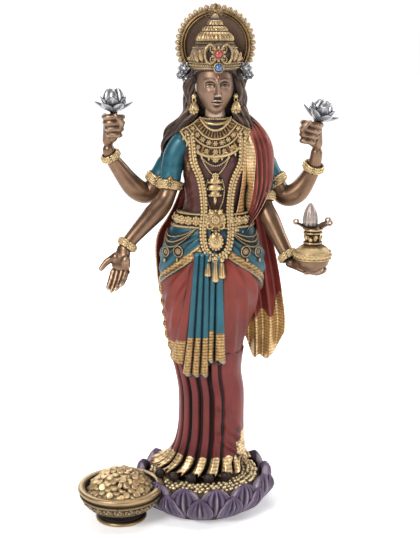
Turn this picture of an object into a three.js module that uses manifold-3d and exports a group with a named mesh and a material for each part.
// A standing four-armed goddess in painted cold-cast resin, on a lotus plinth with a dish of coins beside it.
// Units are millimetres, +Z is up and the figure faces -Y.
// The origin is the centre of the plinth's underside.
import * as THREE from "three";
import { mergeVertices } from "three/addons/utils/BufferGeometryUtils.js";
import Module from "manifold-3d";

const wasm = await Module();
wasm.setup();

// Driving dimensions
const clearance = 0.3; // gap kept where two pieces touch
const figureHeight = 240; // from the sole of the hem to the tip of the halo
const drawnHeight = 240; // the height at which the figure's own measures below are written
const plinthHeight = 16.5; // underside to the seed disc that she stands on
const plinthFootRadius = 26.2;
const plinthBulge = 9; // how far the petals swell past the foot
const seatRadius = 25.6; // the flat seed disc
const petalCount = 13; // in each of the two rows
const petalPhase = -2.5; // degrees from the front to the nearest outer petal's middle
const petalThickness = 2.4;
const petalTipRise = 3.8; // the inner row's tips above the seed disc
const stamenRadius = 1.8;
const stamenCount = 12;
const dishHeight = 18;
const dishRimRadius = 21.8;
const dishFootRadius = 13;
const dishLip = 2.3; // width of the flat lip
const dishWell = 4; // depth of the bowl under the lip, filled by the coins
const dishBearing = -63; // degrees from the front, towards the figure's right
const dishToPlinth = 8; // between the two feet, at the floor
const coinRadius = 3.3;
const coinThickness = 1.8;
const coinCount = 10;
const heapHeight = 6.2; // the heap's top above the lip
const goldenTurn = 137.5; // degrees from one coin of the heap to the next

const degree = Math.PI / 180;
const share = figureHeight / drawnHeight;
const seatZ = plinthHeight + clearance;

const vec = (x, y, z) => new THREE.Vector3(x, y, z);
const mix = (a, b, t) => a + (b - a) * t;
const bell = (value, middle, width) => Math.exp(-(((value - middle) / width) ** 2));
const steps = (count) => Array.from({ length: count + 1 }, (_, i) => i / count);

function smooth(low, high, value) {
  const t = Math.min(Math.max((value - low) / (high - low), 0), 1);
  return t * t * (3 - 2 * t);
}

// A closed geometry as a solid that can be joined or cut
function solidOf(geometry) {
  const bare = new THREE.BufferGeometry();
  bare.setAttribute("position", geometry.getAttribute("position").clone());
  bare.setIndex(geometry.index ? geometry.index.clone() : null);
  const merged = mergeVertices(bare, 1e-4);
  const corners = new Uint32Array(merged.index.array);
  const build = () =>
    new wasm.Manifold(
      new wasm.Mesh({
        numProp: 3,
        vertProperties: merged.attributes.position.array,
        triVerts: corners,
      }),
    );
  const first = build();
  if (first.volume() >= 0) return first;
  for (let i = 0; i < corners.length; i += 3) {
    [corners[i], corners[i + 1]] = [corners[i + 1], corners[i]];
  }
  return build();
}

const joined = (solids) => wasm.Manifold.union(solids);

function geometryOf(solid) {
  const mesh = solid.getMesh();
  const geometry = new THREE.BufferGeometry();
  geometry.setAttribute("position", new THREE.BufferAttribute(mesh.vertProperties, 3));
  geometry.setIndex(new THREE.BufferAttribute(mesh.triVerts, 1));
  geometry.computeVertexNormals();
  return geometry;
}

// Moves each vertex of a stock geometry to where place(vertex) says
function shaped(geometry, place) {
  const points = geometry.getAttribute("position");
  const at = new THREE.Vector3();
  for (let i = 0; i < points.count; i++) {
    at.fromBufferAttribute(points, i);
    const to = place(at);
    points.setXYZ(i, to.x, to.y, to.z);
  }
  return solidOf(geometry);
}

// Values of a table of [place, value, ...] rows at any place, on a smooth curve through the rows
function tableAt(rows, place) {
  const last = rows.length - 1;
  const p = Math.min(Math.max(place, rows[0][0]), rows[last][0]);
  let i = 0;
  while (i < last - 1 && p > rows[i + 1][0]) i++;
  const [a, b] = [rows[i], rows[i + 1]];
  const [before, after] = [rows[Math.max(i - 1, 0)], rows[Math.min(i + 2, last)]];
  const span = b[0] - a[0];
  const t = (p - a[0]) / span;
  return a.slice(1).map((value, k) => {
    const slopeA = ((b[k + 1] - before[k + 1]) / (b[0] - before[0])) * span;
    const slopeB = ((after[k + 1] - value) / (after[0] - a[0])) * span;
    const [t2, t3] = [t * t, t * t * t];
    return (
      value * (2 * t3 - 3 * t2 + 1) +
      slopeA * (t3 - 2 * t2 + t) +
      b[k + 1] * (3 * t2 - 2 * t3) +
      slopeB * (t3 - t2)
    );
  });
}

// A tapered tube through stops of [point, half width, half thickness].
// Its width lies along side, its rows at places from 0 to 1, and extra(t) adds to both halves.
function limb(stops, sides, places, side = vec(0, 1, 0), extra = () => 0) {
  const curve = new THREE.CatmullRomCurve3(stops.map((stop) => stop[0]));
  const sizes = stops.map((stop, i) => [i / (stops.length - 1), stop[1], stop[2] ?? stop[1]]);
  return shaped(new THREE.CylinderGeometry(1, 1, 1, sides, places.length - 1), (v) => {
    const t = places[Math.round((v.y + 0.5) * (places.length - 1))];
    const [wide, thick] = tableAt(sizes, t);
    const tangent = curve.getTangent(t);
    const out = new THREE.Vector3().crossVectors(tangent, side).normalize();
    const across = new THREE.Vector3().crossVectors(out, tangent);
    return curve
      .getPoint(t)
      .addScaledVector(across, v.x * (wide + extra(t)))
      .addScaledVector(out, v.z * (thick + extra(t)));
  });
}

function ball(middle, half, sides = 6, rows = 4) {
  return shaped(new THREE.SphereGeometry(1, sides, rows), (v) =>
    vec(v.x, v.z, v.y).multiply(half).add(middle),
  );
}

// A bent leaf or petal: from, along and out set its base, its run and the side its back faces
function leaf({ from, along, out, length, halfWidth, thickness, curl, sides = 4, rows = 3 }) {
  const across = new THREE.Vector3().crossVectors(along, out).normalize();
  return shaped(new THREE.SphereGeometry(1, sides, rows), (v) => {
    const s = (v.y + 1) / 2;
    const ring = Math.max(Math.hypot(v.x, v.z), 1e-6);
    const girth = Math.sin(Math.PI * Math.min(s ** 0.85, 1));
    return from
      .clone()
      .addScaledVector(along, s * length)
      .addScaledVector(out, curl * s * s * length + (v.z / ring) * thickness * girth)
      .addScaledVector(across, (v.x / ring) * halfWidth * girth);
  });
}

// Turns a profile of [radius, height] pairs into a solid about Z
function turned(profile, segments) {
  const points = profile.map(([r, z]) => new THREE.Vector2(r, z));
  return solidOf(new THREE.LatheGeometry(points, segments).rotateX(Math.PI / 2));
}

// The draped body: height above the sole, middle x, middle y, half width, half depth
const hemRight = 24;
const hemLeft = 27.4;
const body = [
  [3.7, (hemRight - hemLeft) / 2, 0, (hemRight + hemLeft) / 2, 20.5],
  [5.6, 0.6, 0, 22.6, 18.4],
  [8, 1.9, 0, 20.4, 17],
  [12, 3, 0, 18.8, 15.8],
  [17, 3.7, 0, 17.6, 14.8],
  [24, 4.3, 0, 16.6, 13.9],
  [34, 4.5, 0, 16.1, 13.2],
  [46, 4.4, 0, 16.2, 12.6],
  [55, 3.1, 0, 16.4, 12.6],
  [62, 2.5, 0, 17.4, 13],
  [71, 2.2, 0, 19, 13.5],
  [77, 1.9, 0, 20.2, 14],
  [88, 2.8, 0, 22, 14.6],
  [98, 3.7, 0, 23.8, 15],
  [110, 4.6, 0, 24.4, 15],
  [119, 4.5, 0, 23.6, 14.2],
  [127, 4.3, 0.5, 20.8, 12.8],
  [134.5, 5, 1, 17.4, 11.2],
  [143, 5.7, 1.4, 15.2, 9.9],
  [152, 6.3, 1.2, 15.4, 10],
  [160, 6.6, 0.8, 16.4, 10.4],
  [167, 6.7, 0.8, 17.6, 10.4],
  [174, 6.6, 1, 18.4, 9.4],
  [179, 6.4, 1, 15.6, 7.8],
  [182, 6.2, 0.6, 10, 6.4],
  [185, 6, 0, 6, 5.4],
];
const bodyRows = [3.7, 7, 13, 24, 40, 56, 68, 84, 100, 112, 124, 134, 144, 156, 165, 174, 185];
const bodySides = 24;
const bodySquare = 2.25; // cross-sections are a little fuller than an ellipse
const pleatTurn = 720 / bodySides; // degrees from one lower pleat to the next
const bustHeight = 165;
const bustTurn = 27;

// How far folds, pleats and the bust stand out of the plain body
// at a turn (degrees from the front) and a height
function relief(turn, height) {
  const crest = 2 * Math.abs(Math.sin((Math.PI * turn) / pleatTurn)) - 1;
  const leg = smooth(15, 30, turn) * (1 - smooth(100, 120, turn));
  const low = 1 - smooth(50, 62, height);
  const spread = 1 + 1.2 * (1 - smooth(4, 16, height));
  let out = 1.1 * crest * low * spread * (1 - leg);
  out += 1.5 * bell(height, 38, 16) * bell(turn, 48, 30);
  out += 0.9 * leg * bell(height, 22, 10) * Math.sin((height * 0.42 + turn * 0.07) * 2);
  const thigh = smooth(56, 66, height) * (1 - smooth(100, 114, height));
  out += 0.8 * thigh * Math.sin(Math.abs(turn) * 0.11 + height * 0.3) * smooth(14, 24, Math.abs(turn));
  out += 4.2 * bell(height, bustHeight, 6.6) * (bell(turn, bustTurn, 17) + bell(turn, -bustTurn, 17));
  out += 1.6 * bell(Math.abs(turn), 152, 24) * bell(height, 116, 14);
  return out;
}

// A point of the body's surface; proud lifts it outwards
function onBody(turn, height, proud = 0) {
  const [x, y, wide, deep] = tableAt(body, height);
  const [s, c] = [Math.sin(turn * degree), Math.cos(turn * degree)];
  const round = (Math.abs(s) ** bodySquare + Math.abs(c) ** bodySquare) ** (-1 / bodySquare);
  const slant = vec(s / wide, -c / deep, 0).normalize();
  const plain = vec(x + wide * s * round, y - deep * c * round, height);
  return plain.addScaledVector(slant, proud + relief(turn, height));
}

// A point of the body's front by its x
function onFront(x, height, proud = 0) {
  const [middle, , wide] = tableAt(body, height);
  const side = Math.min(Math.max((x - middle) / wide, -0.98), 0.98);
  const turn = Math.atan2(side, (1 - Math.abs(side) ** bodySquare) ** (1 / bodySquare)) / degree;
  return onBody(turn, height, proud);
}

function drapedBody() {
  const last = bodyRows.length - 1;
  return shaped(new THREE.CylinderGeometry(1, 1, 1, bodySides, last), (v) => {
    const height = bodyRows[Math.round((v.y + 0.5) * last)];
    if (Math.hypot(v.x, v.z) > 0.5) return onBody(Math.atan2(v.x, v.z) / degree, height);
    const [x, y] = tableAt(body, height);
    return vec(x, y, height);
  });
}

// The dark underskirt that carries the figure on the plinth
function underskirt() {
  const [x, y, wide, deep] = tableAt(body, bodyRows[0]);
  const inset = 5.5;
  return shaped(new THREE.CylinderGeometry(1, 1, 1, 12, 1), (v) =>
    vec(x + v.x * (wide - inset), y - v.z * (deep - inset), (v.y + 0.5) * (bodyRows[0] + 2)),
  );
}

// A cloth panel: surface(u, v, lift) gives its points for u and v from 0 to 1,
// lift above or below the surface
function panel(surface, columns, rows, thickness, buried = 1.5) {
  return shaped(new THREE.BoxGeometry(1, 1, 1, columns, rows, 1), (v) =>
    surface(v.x + 0.5, v.y + 0.5, v.z > 0 ? thickness : -buried),
  );
}

// The hip wrap on one side, with its slanting border below; side is -1 for her right
function hipWrap(side) {
  const borderAt = (u) => mix(124, 98, u ** 0.8); // the border's height from the middle to the side
  const rows = 3;
  return panel(
    (u, v, lift) => {
      const edge = borderAt(u);
      const inBorder = v < 0.5;
      const height = inBorder
        ? mix(edge - 2, edge + 2.6, v * rows)
        : mix(edge + 2.6, 131, (v * rows - 1) / (rows - 1));
      const proud = lift > 0 ? (inBorder ? lift + 0.8 : lift) * (1 - u ** 8) : lift;
      return onBody(side * mix(10, 102, u), height, proud);
    },
    5, rows, 1,
  );
}

// The middle pleats hang in three groups:
// x at the top, x at the hem, the hem's height, folds and how far out the group lies
const middleGroups = [
  { top: [-4.6, 0.4], hem: [-14.8, -8.4], foot: 63.5, folds: 1, out: 1.2 },
  { top: [5, 9.4], hem: [1.4, 10.3], foot: 64, folds: 2, out: 1.2 },
  { top: [-2.6, 5.6], hem: [-8, 2.5], foot: 57, folds: 3, out: 2 },
];
function middlePleats({ top, hem, foot, folds, out }) {
  return panel(
    (u, v, lift) => {
      const fold = lift > 0 ? 1.3 * (Math.round(u * folds * 2) % 2) + 0.7 * (1 - v) : 0;
      return onFront(mix(mix(...hem, u), mix(...top, u), v), mix(foot, 121, v), lift + fold);
    },
    folds * 2, 3, out,
  );
}

// The cloth over her left shoulder and upper arm, with its flat inner border
const palluEdge = [ // height, inner x, outer x, y where it lies over the arm
  [131, 15, 22.5, -7.4],
  [142, 16.4, 29, -9.2],
  [150, 17, 33.4, -7.8],
  [158, 17.6, 35.2, -7.2],
  [168, 17.8, 35.4, -6.8],
  [175, 16.8, 33.4, -5],
  [182, 13, 27.5, -3],
];
const palluCrest = 28.5; // x of the line where it lies highest on the arm
function pallu() {
  return panel(
    (u, v, lift) => {
      const height = mix(131, 184, v);
      const [inner, outer, crestY] = tableAt(palluEdge, height);
      const x = mix(inner, outer, u);
      const fold = Math.round(u * 4) % 2 ? 0.8 : 0;
      const chest = onFront(Math.min(x, 21.5), height, lift > 0 ? lift + fold : -5);
      const past = Math.max(x - palluCrest, 0);
      const overArm = crestY + (lift > 0 ? 1 - lift - fold : 5.6) + 0.06 * past ** 2.4;
      return vec(x, mix(chest.y, overArm, smooth(20, 27, x)), height);
    },
    5, 4, 1.4,
  );
}

// The free end of that cloth, falling in folds behind her left arm
const sashEdge = [ // height above the hem, inner x, outer x, y of the middle
  [0, 20.5, 41.5, 7],
  [20, 19.5, 42.6, 7.5],
  [36, 18, 40.6, 8],
  [56, 16, 37, 8.5],
  [80, 14, 31.5, 9],
  [100, 12, 26, 9],
];
const sashFolds = 3;
function sash() {
  const foot = 60;
  return panel(
    (u, v, lift) => {
      const hem = foot + 13 * smooth(0.72, 1, u) + 12 * (1 - smooth(0, 0.32, u));
      const height = mix(hem, foot + 100, v);
      const [inner, outer, middle] = tableAt(sashEdge, height - foot);
      const wave = Math.round(u * sashFolds * 2) % 2 ? 1 : -1;
      return vec(mix(inner, outer, u), middle + wave * mix(2.1, 0.8, v) - lift, height);
    },
    sashFolds * 2, 3, 1.4, 1.4,
  );
}

// Cloth that comes round from the back over her right hip: height and how far out it reaches
const backDrapeEdge = [
  [86, -19], [99, -23], [112, -24.4], [121, -24.4], [128, -22.5], [134, -18.6], [142, -14.4], [152, -10.4],
];
function backDrape() {
  return panel(
    (u, v, lift) => {
      const height = mix(86, 152, v);
      return vec(mix(-6, tableAt(backDrapeEdge, height)[0], u), 9 - 3 * u - lift, height);
    },
    2, 4, 1.6, 1.6,
  );
}

// Arms from the shoulder to the wrist as [point, half thickness],
// each with the shares of its run that its armlet and bracelet cover
const arms = {
  raisedRight: {
    stops: [
      [vec(-6, 4, 176), 5],
      [vec(-16.6, 8, 163.4), 5],
      [vec(-22.8, 8.5, 153.2), 4.9],
      [vec(-28, 8, 146.6), 5.2],
      [vec(-34.8, 6, 150), 5.2],
      [vec(-42.2, 4, 160), 4.2],
      [vec(-46.2, 1.4, 167), 3.2],
      [vec(-47, 0.8, 172.5), 3],
    ],
    rings: [[0.24, 0.33], [0.8, 0.91]],
  },
  raisedLeft: {
    stops: [
      [vec(19, 4, 176), 5],
      [vec(29.5, 8, 164.5), 5],
      [vec(35.6, 8.5, 153.4), 4.9],
      [vec(41, 8, 145.6), 5.2],
      [vec(47.7, 6, 147.6), 5.2],
      [vec(53.8, 4, 157.1), 4.2],
      [vec(56, 1.4, 165), 3.1],
      [vec(56.5, 0.8, 171), 3],
    ],
    rings: [[0.24, 0.33], [0.76, 0.87]],
  },
  lowerRight: {
    stops: [
      [vec(-6.5, 0.4, 176.8), 6],
      [vec(-13.2, -0.6, 168.1), 5.5],
      [vec(-15.6, -1.6, 158.7), 5],
      [vec(-16.9, -3, 150), 4.6],
      [vec(-20, -5, 143.2), 4.7],
      [vec(-26.5, -10, 136.6), 4.6],
      [vec(-34.7, -15.4, 128), 3.7],
      [vec(-38.2, -17.4, 123.4), 3.3],
    ],
    rings: [[0.36, 0.46], [0.84, 0.94]],
  },
  lowerLeft: {
    stops: [
      [vec(19, 0.4, 176.8), 6],
      [vec(28, 0, 167.5), 5.4],
      [vec(29.6, -0.4, 158.5), 5],
      [vec(29.9, -1.4, 149.6), 4.5],
      [vec(30.8, -4, 141.8), 4.4],
      [vec(35.3, -9, 131.9), 4.3],
      [vec(40.4, -14.4, 121.8), 3.7],
      [vec(43.1, -17, 117), 3.3],
    ],
    rings: [[0.38, 0.47], [0.84, 0.94]],
  },
};
const ringProud = 1.5;

function arm({ stops, rings }) {
  const crests = rings.map(([from, to]) => (from + to) / 2);
  const edges = rings.flat();
  const plain = stops
    .map((_, i) => i / (stops.length - 1))
    .filter((t) => rings.every(([from, to]) => t < from - 0.05 || t > to + 0.05));
  const places = [...plain, ...edges, ...crests].sort((a, b) => a - b);
  return limb(stops, 5, places, vec(0, 1, 0), (t) => {
    if (crests.includes(t)) return ringProud;
    return edges.includes(t) ? ringProud * 0.3 : 0;
  });
}

// An open or cupped hand: wrist, the way the fingers run, the way the palm faces, the thumb's side,
// the bends, how far the fingers spread and the size
function hand({ wrist, along, palm, thumb, bends, spread, size }) {
  const forward = along.clone().normalize();
  const face = palm.clone().addScaledVector(forward, -palm.dot(forward)).normalize();
  const across = new THREE.Vector3().crossVectors(forward, face).multiplyScalar(thumb);
  const from = (a, b, c) =>
    wrist
      .clone()
      .addScaledVector(forward, a * size)
      .addScaledVector(across, b * size)
      .addScaledVector(face, c * size);
  const grown = (stops) => stops.map(([point, ...halves]) => [point, ...halves.map((half) => half * size)]);
  const back = [
    [from(-1.5, 0, 0), 2.7, 2.5],
    [from(3.4, 0.3, 0), 4, 2.3],
    [from(6.8, 0, -0.2), 4.5, 2],
    [from(9.8, 0, -0.3), 4.2, 1.5],
  ];
  const parts = [limb(grown(back), 5, steps(2), across)];
  const lengths = [4.2, 2.9, 2.3];
  [3.3, 1.15, -1.05, -3.2].forEach((place, finger) => {
    const reach = [1, 1.12, 1.04, 0.84][finger] * size;
    const points = [from(8.2, place, -0.2)];
    let angle = 0;
    bends[finger].forEach((bend, joint) => {
      angle += bend;
      const way = forward
        .clone()
        .multiplyScalar(Math.cos(angle))
        .addScaledVector(face, Math.sin(angle))
        .addScaledVector(across, spread * (1.5 - finger));
      points.push(points[joint].clone().addScaledVector(way, lengths[joint] * reach));
    });
    parts.push(limb(grown(points.map((p, i) => [p, [1.35, 1.3, 1.15, 0.8][i]])), 4, [0, 0.5, 1], across));
  });
  const root = from(2.4, 2.6, 0.5);
  const way = forward.clone().multiplyScalar(0.75).addScaledVector(across, 0.66).addScaledVector(face, 0.35);
  const bent = forward.clone().multiplyScalar(0.9).addScaledVector(across, 0.3).addScaledVector(face, 0.5);
  const knuckle = root.clone().addScaledVector(way, 4.4 * size);
  const tip = knuckle.clone().addScaledVector(bent, 4 * size);
  parts.push(limb(grown([[root, 1.7], [knuckle, 1.4], [tip, 0.8]]), 4, steps(2), face));
  return parts;
}

const openHand = {
  wrist: vec(-38.6, -17.6, 122.6),
  along: vec(-0.2, -0.34, -1),
  palm: vec(-0.62, -1, 0.3),
  thumb: 1,
  bends: [[0.05, 0.1, 0.1], [0.05, 0.15, 0.15], [0.1, 0.2, 0.2], [0.2, 0.2, 0.2]],
  spread: 0.03,
  size: 1.2,
};
const cuppedHand = {
  wrist: vec(43.6, -17.6, 116),
  along: vec(0.86, -0.44, -0.3),
  palm: vec(0.3, 0.1, 1),
  thumb: 1,
  bends: [[0.2, 0.45, 0.4], [0.15, 0.5, 0.45], [0.15, 0.5, 0.5], [0.15, 0.6, 0.5]],
  spread: 0.06,
  size: 1.08,
};

// A fist round an upright stem: the back of the hand runs up from the wrist,
// and the fingers wrap across one over another, dipping towards their tips
function fist({ wrist, top, grip, side }) {
  const back = [
    [wrist, 3, 3],
    [wrist.clone().lerp(top, 0.35), 4.1, 3],
    [wrist.clone().lerp(top, 0.75), 4.4, 3],
    [top, 3.2, 2.4],
  ];
  const parts = [limb(back, 6, steps(2))];
  [0, 1, 2, 3].forEach((finger) => {
    const radius = [4.9, 4.7, 4.3, 3.7][finger];
    const points = [-20, 45, 110, 165].map((turn) => {
      const angle = turn * degree;
      const height = grip.z - finger * 2.9 + 1.1 * Math.sin(angle);
      return [vec(grip.x + side * radius * Math.cos(angle), grip.y - radius * Math.sin(angle), height), 1.5];
    });
    parts.push(limb(points, 4, steps(3), vec(0, 0, 1)));
  });
  return parts;
}

const fists = [
  { wrist: vec(-47, 0.8, 171), top: vec(-45.6, -0.6, 187.4), grip: vec(-43.4, -3.6, 186.4), side: -1 },
  { wrist: vec(56.5, 0.8, 169.4), top: vec(55.4, -0.6, 184), grip: vec(53, -3.6, 183), side: 1 },
];

// A lotus on its stem, held in a raised hand
function blossom({ foot, base, top }) {
  const axis = top.clone().sub(base).normalize();
  const sideways = new THREE.Vector3().crossVectors(vec(0, 1, 0), axis).normalize();
  const forward = new THREE.Vector3().crossVectors(sideways, axis);
  const around = (angle) =>
    sideways.clone().multiplyScalar(Math.cos(angle)).addScaledVector(forward, Math.sin(angle));
  const up = (distance) => base.clone().addScaledVector(axis, distance);
  const parts = [
    limb([[foot.clone().lerp(base, 0.7), 1.4], [base, 2.2], [up(2.4), 3]], 5, [0, 1]),
    ball(up(6), vec(4.4, 4.4, 5.6), 6, 3),
  ];
  for (let i = 0; i < 5; i++) {
    const out = around([0, 1, 2.1, 3.14, 4.7][i]);
    const outer = i % 3 === 0; // the petal on either side lies flatter
    parts.push(leaf({
      from: up(1),
      along: axis
        .clone()
        .multiplyScalar(outer ? 0.45 : 0.9)
        .addScaledVector(out, outer ? 0.9 : 0.5)
        .normalize(),
      out: out.clone().multiplyScalar(0.7).addScaledVector(axis, -0.7).normalize(),
      length: outer ? 9.4 : 9.8,
      halfWidth: 3,
      thickness: 0.9,
      curl: outer ? -0.22 : -0.25,
    }));
  }
  return parts;
}

const blossoms = [
  { foot: vec(-43.4, -3.6, 176), base: vec(-43.4, -3.6, 188.4), top: vec(-43.4, -4, 200.5) },
  { foot: vec(52.6, -3.6, 172), base: vec(56, -3.8, 184.2), top: vec(60, -4, 194.4) },
];

// The water pot in her lower left hand, with leaves and a nut at its mouth
const potMiddle = vec(53.1, -23.6, 120.6);
const potProfile = [[0, -7], [4.8, -6], [8, -2.2], [8.4, 1.6], [3.7, 6.4], [3.5, 11], [4.8, 13.6], [0, 13.8]];
function waterPot() {
  const parts = [
    turned(potProfile, 9).translate(potMiddle.x, potMiddle.y, potMiddle.z),
    ball(potMiddle.clone().add(vec(-1.4, 0, 19)), vec(3.5, 3.5, 6.8)),
  ];
  [[-1, -0.3], [1, -0.1], [0, -1]].forEach(([x, y]) => {
    const out = vec(x, y, 0).normalize();
    parts.push(leaf({
      from: potMiddle.clone().add(vec(0, 0, 12)),
      along: out.clone().multiplyScalar(0.8).add(vec(0, 0, 0.5)).normalize(),
      out: out.clone().multiplyScalar(0.5).add(vec(0, 0, -0.8)).normalize(),
      length: 9.4, halfWidth: 1.9, thickness: 0.9, curl: 0.1,
    }));
  });
  return parts;
}

// Head: its middle, half sizes and how far it is turned towards her left
const headMiddle = vec(5.9, -2.6, 201.5);
const headHalf = vec(8.4, 9.8, 13.6);
const headTurn = 8;
const onHead = (x, y, z) =>
  vec(x, y, z).multiply(headHalf).applyAxisAngle(vec(0, 0, 1), headTurn * degree).add(headMiddle);

function head() {
  const skull = shaped(new THREE.SphereGeometry(1, 12, 8), (v) => {
    const front = Math.max(v.z, 0);
    const jaw = 1 - 0.32 * smooth(0.1, 1, -v.y) * (1 - 0.3 * front);
    const flat = 1 - 0.12 * front * smooth(0.1, 0.8, Math.abs(v.y + 0.1));
    return onHead(v.x * jaw, -v.z * flat - 0.1 * bell(v.y, -0.9, 0.2) * front, v.y);
  });
  const bridge = [
    [onHead(0, -0.9, 0.2), 0.8, 0.8],
    [onHead(0, -1.04, -0.02), 1, 1.1],
    [onHead(0, -1.06, -0.2), 1.7, 1.5],
  ];
  const nose = limb(bridge, 4, steps(2), vec(1, 0, 0));
  const lips = ball(onHead(0, -0.9, -0.44), vec(2.6, 1.4, 1.1));
  const eyes = [-1, 1].map((side) => ball(onHead(side * 0.4, -0.76, 0.1), vec(1.9, 1.1, 0.9)));
  return [skull, nose, lips, ...eyes];
}

function neck() {
  const stops = [
    [vec(6, 0.2, 180), 6.4],
    [vec(6, -0.6, 184.5), 5],
    [vec(6, -1.2, 189), 4.8],
    [vec(6, -1.4, 194), 5],
  ];
  return limb(stops, 8, steps(3));
}

// Hair: a cap behind the face, wavy locks to the shoulders and a mass down the back
function hair() {
  const parts = [ball(vec(5.9, 0.8, 201), vec(11, 9, 13.6), 9, 5)];
  for (const side of [-1, 1]) {
    const x = (out) => headMiddle.x + side * out;
    parts.push(limb([
      [vec(x(10.4), 0, 209), 3, 3.6],
      [vec(x(12.2), 0.6, 200), 2.7, 4.2],
      [vec(x(11.6), 2, 191), 2.7, 4.4],
      [vec(x(15.6), 3.4, 184), 3.2, 4.6],
      [vec(x(21.4), 4.6, 177), 3.4, 4.4],
      [vec(x(24.6), 5, 169), 2.8, 3.6],
      [vec(x(23.6), 5.4, 162), 1.4, 2],
    ], 5, steps(5), vec(1, 0, 0)));
  }
  parts.push(limb([
    [vec(5.9, 5, 206), 11, 5],
    [vec(5.9, 7.5, 190), 12.5, 5],
    [vec(6.2, 9.5, 172), 18.5, 4.6],
    [vec(6.2, 10.5, 150), 13, 3.8],
    [vec(6, 11, 132), 7, 2.6],
  ], 7, steps(4), vec(1, 0, 0)));
  return parts;
}

// The tiered crown with its brow rosette
const crownMiddle = vec(5.9, -1.4, 0);
const crownTiers = [
  [0, 209], [11.4, 209], [12.3, 211.5], [11.9, 215], [10.4, 219.6], [8.4, 222], [8.4, 223.4], [6.8, 226.4],
  [5.9, 226.6], [4.8, 229], [3.8, 229.2], [2.6, 232.2], [0, 233.4],
];
function crown() {
  const cap = turned(crownTiers, 10).scale([1, 0.86, 1]).translate(crownMiddle.x, crownMiddle.y, 0);
  const face = vec(Math.sin(headTurn * degree), -Math.cos(headTurn * degree), 0);
  const brow = (z, out) => crownMiddle.clone().addScaledVector(face, out).setZ(z);
  return [
    cap,
    ball(brow(216.4, 10.2), vec(6.6, 2, 4.8), 8, 4),
    ball(brow(216.4, 12), vec(2, 1.6, 2), 5, 3),
    ball(brow(209.8, 10.4), vec(2.2, 1.6, 2.2), 5, 3),
  ];
}

// The halo: a rayed plate with a raised ring, and a crest at its top
const haloMiddle = vec(6.2, 9, 219.9);
const crestRise = 20.1; // from the halo's middle to the tip of its crest
const haloRadius = 20.9;
const haloRays = 24;
const haloThickness = 1.8;
function halo() {
  const outline = new THREE.Shape();
  for (let i = 0; i < haloRays * 2; i++) {
    const angle = (i / (haloRays * 2)) * Math.PI * 2;
    const radius = haloRadius * (i % 2 ? 0.9 : 0.985);
    outline[i ? "lineTo" : "moveTo"](radius * Math.sin(angle), radius * Math.cos(angle));
  }
  outline.closePath();
  const plate = new THREE.ExtrudeGeometry(outline, { depth: haloThickness, bevelEnabled: false });
  plate.rotateX(Math.PI / 2);
  plate.translate(haloMiddle.x, haloMiddle.y + haloThickness / 2, haloMiddle.z);
  const band = new THREE.TorusGeometry(haloRadius * 0.77, 1.7, 3, 16);
  band.rotateX(Math.PI / 2);
  band.translate(haloMiddle.x, haloMiddle.y - haloThickness / 2 - 0.2, haloMiddle.z);
  const crestFoot = haloRadius * 0.72;
  const crest = leaf({
    from: haloMiddle.clone().add(vec(0, -0.6, crestFoot)),
    along: vec(0, 0, 1),
    out: vec(0, -1, 0),
    length: crestRise - crestFoot,
    halfWidth: 3.8,
    thickness: 1.8,
    curl: 0,
  });
  return [solidOf(plate), solidOf(band), crest];
}

// Ear ornaments and the flowers over the ears
function earPieces() {
  return [-1, 1].flatMap((side) => {
    const x = headMiddle.x + side * 10.4;
    const drop = [
      [vec(x, 0, 199), 1.4],
      [vec(x, -4, 195.4), 1.2],
      [vec(x, -4.6, 191.4), 2.9],
      [vec(x, -4.6, 188.6), 1.4],
    ];
    return [
      limb(drop, 4, steps(3)),
      ball(vec(headMiddle.x + side * 14.4, -1, 208), vec(4, 3.2, 4), 5, 3),
    ];
  });
}

// Collar, belt, buckle, pendant and tassel
function jewels() {
  const collar = panel(
    (u, v, lift) => {
      const angle = mix(-80, 80, u) * degree;
      const reach = mix(6.4, 15.4, v);
      return onFront(6.2 + reach * Math.sin(angle), 186 - reach * 1.1 * Math.cos(angle), lift);
    },
    6, 1, 2.2,
  );
  const belt = panel((u, v, lift) => onBody(mix(-100, 100, u), mix(132, 138.6, v), lift), 6, 1, 2.2);
  const buckle = ball(onFront(6.2, 135.6, 2), vec(4.8, 2.4, 5.8));
  const pendant = ball(onFront(6.2, 124.6, 2.2), vec(3.6, 2.4, 4.4), 6, 3);
  const strands = [
    [onFront(6, 118, 2), 2.6, 1.2],
    [onFront(5.6, 110, 2.6), 2.2, 1.3],
    [onFront(5, 104, 2.6), 3.4, 1.4],
  ];
  const tassel = limb(strands, 4, [0, 1], vec(1, 0, 0));
  return [collar, belt, buckle, pendant, tassel];
}

function figureSolid() {
  return joined([
    drapedBody(), underskirt(), hipWrap(-1), hipWrap(1), ...middleGroups.map(middlePleats),
    pallu(), sash(), backDrape(),
    ...Object.values(arms).map(arm), ...hand(openHand), ...hand(cuppedHand), ...fists.flatMap(fist),
    ...blossoms.flatMap(blossom), ...waterPot(),
    ...head(), neck(), ...hair(), ...crown(), ...halo(), ...earPieces(), ...jewels(),
  ]);
}

// The swelling plinth body that the petals lie on
const plinthRadius = (z) =>
  plinthFootRadius + plinthBulge * Math.sin(Math.min(z / plinthHeight, 1) * 0.62 * Math.PI);

// A petal's outline: [share of its own height, share of its full width]
const petalOutline = [[-0.8, 0], [0.42, 1], [1, 0]];

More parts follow.
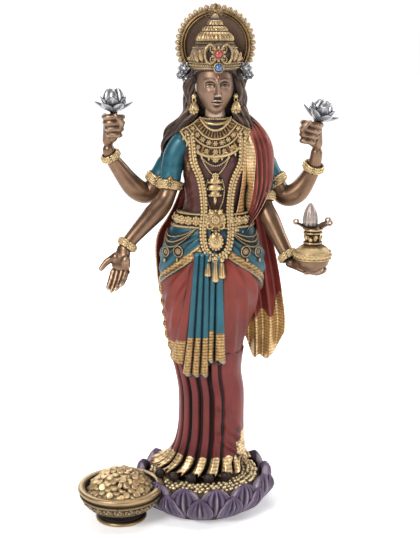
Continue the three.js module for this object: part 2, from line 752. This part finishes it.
// One petal standing up the plinth's side; it ends in a point at tipZ
function plinthPetal(turn, lift, tipZ, halfTurn) {
  const last = petalOutline.length - 1;
  return shaped(new THREE.SphereGeometry(1, 4, last), (v) => {
    const [rise, girth] = petalOutline[Math.round((1 - Math.acos(v.y) / Math.PI) * last)];
    const ring = Math.max(Math.hypot(v.x, v.z), 1e-6);
    const z = mix(0.3, tipZ, rise);
    const radius = plinthRadius(z) - petalThickness * 0.7 + lift + petalThickness * girth * (v.z / ring);
    const angle = (turn + (v.x / ring) * halfTurn * girth) * degree;
    return vec(radius * Math.sin(angle), -radius * Math.cos(angle), z);
  });
}

const dishReach = plinthFootRadius + dishFootRadius + dishToPlinth;
const dishMiddle = vec(0, -dishReach, 0).applyAxisAngle(vec(0, 0, 1), dishBearing * degree);

// The dish's outside, grown by a gap for the seat that it leaves in the plinth
function dishProfile(gap) {
  return [
    [dishFootRadius + gap, 0],
    [dishFootRadius + gap, 1.6],
    [dishFootRadius - 2.6 + gap, 3.2],
    [mix(dishFootRadius, dishRimRadius, 0.35) + gap, dishHeight * 0.36],
    [mix(dishFootRadius, dishRimRadius, 0.74) + gap, dishHeight * 0.6],
    [dishRimRadius - 1.2 + gap, dishHeight - 2.6],
    [dishRimRadius + gap, dishHeight - 1.8 - gap],
    [dishRimRadius + gap, dishHeight],
  ];
}
const dishSegments = 15;

function plinthSolid() {
  const core = turned(
    [
      [0, 0],
      [plinthFootRadius, 0],
      [plinthRadius(8) - 1.8, 8],
      [seatRadius + 4, plinthHeight - 1.6],
      [seatRadius, plinthHeight],
      [0, plinthHeight],
    ],
    20,
  );
  const stamenReach = seatRadius + stamenRadius;
  const ring = new THREE.TorusGeometry(stamenReach, stamenRadius, 3, stamenCount * 2);
  const stamens = shaped(ring, (v) => {
    const turn = Math.atan2(v.y, v.x);
    const crest = Math.round((turn / Math.PI) * stamenCount) % 2 ? 1 : 0.72;
    const reach = stamenReach + (Math.hypot(v.x, v.y) - stamenReach) * crest;
    return vec(reach * Math.cos(turn), reach * Math.sin(turn), plinthHeight - 0.4 + v.z * crest);
  });
  const step = 360 / petalCount;
  const petals = steps(petalCount).slice(1).flatMap((share) => [
    plinthPetal(share * 360 + petalPhase, 0.9, plinthHeight - 0.3, step * 0.42),
    plinthPetal(share * 360 + petalPhase + step / 2, 0.1, plinthHeight + petalTipRise, step * 0.5),
  ]);
  const above = plinthHeight + petalTipRise + 20;
  const seat = turned(
    [
      [0, -1],
      [dishFootRadius + clearance, -1],
      ...dishProfile(clearance).slice(1),
      [dishRimRadius + clearance, above],
      [0, above],
    ],
    dishSegments,
  ).translate(dishMiddle.x, dishMiddle.y, 0);
  const floor = solidOf(new THREE.BoxGeometry(200, 200, 20).translate(0, 0, -10));
  return joined([core, ...petals, stamens]).subtract(joined([seat, floor]));
}

function dishSolid() {
  const inner = dishRimRadius - dishLip;
  const well = dishHeight - dishWell;
  const wall = [[inner, dishHeight], [inner - 0.6, dishHeight - 2], [0, well]];
  const bowl = turned([[0, 0], ...dishProfile(0), ...wall], dishSegments);
  const heap = turned(
    [
      [0, well - 1],
      [inner - 3, well - 0.6],
      [inner - 1.4, dishHeight - 1.6],
      [inner * 0.7, dishHeight + heapHeight * 0.4],
      [inner * 0.36, dishHeight + heapHeight * 0.8],
      [0, dishHeight + heapHeight * 0.9],
    ],
    8,
  );
  const coins = steps(coinCount).slice(1).map((share, i) => {
    const reach = (inner - coinRadius - 0.6) * Math.sqrt(share - 0.5 / coinCount);
    const slope = Math.atan2(2 * heapHeight * reach, inner ** 2) + 0.25 * Math.sin(i * 1.7);
    const coin = new THREE.CylinderGeometry(coinRadius, coinRadius * 0.9, coinThickness, 6);
    coin.rotateX(Math.PI / 2);
    coin.rotateY(slope);
    coin.translate(reach, 0, dishHeight + heapHeight * (0.88 - (reach / inner) ** 2));
    coin.rotateZ(i * goldenTurn * degree);
    return solidOf(coin);
  });
  return joined([bowl, heap, ...coins]).translate(dishMiddle.x, dishMiddle.y, 0);
}

function node(name, solid, colour, roughness, metalness) {
  const material = new THREE.MeshStandardMaterial({ color: colour, roughness, metalness });
  const mesh = new THREE.Mesh(geometryOf(solid), material);
  mesh.name = name;
  return mesh;
}

const figure = node("goddess_figure", figureSolid(), 0x6b4630, 0.42, 0.65);
figure.scale.setScalar(share);
figure.position.z = seatZ;

const group = new THREE.Group();
group.add(
  figure,
  node("lotus_plinth", plinthSolid(), 0x66566c, 0.6, 0.2),
  node("dish_of_coins", dishSolid(), 0xa8824e, 0.4, 0.7),
);
export default group;
